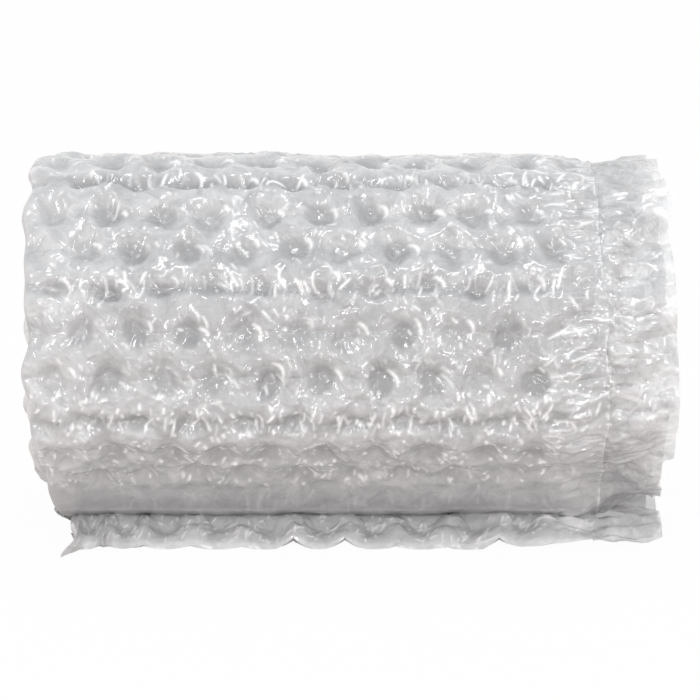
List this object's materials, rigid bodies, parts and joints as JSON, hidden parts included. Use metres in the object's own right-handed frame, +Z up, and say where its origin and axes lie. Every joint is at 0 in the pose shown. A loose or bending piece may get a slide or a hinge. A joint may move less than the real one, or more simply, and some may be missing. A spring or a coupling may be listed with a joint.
{
  "type": "air pillow roll",
  "caption": "Roll of inflated cushion film, quilted by sealed spots and wound on itself with its free end lying out, for padding goods in a box.",
  "frame": {"origin": "on the floor, under the middle of the whole roll", "axes": "+X along the roll towards its loose cut edge, +Y away from the free end, +Z up"},
  "size_m": [0.3544, 0.2076, 0.2051],
  "materials": {
    "film": "clear crinkled film, whitish in layers"
  },
  "bodies": {
    "root": {"cushion_roll": "film"}
  },
  "joints": []
}
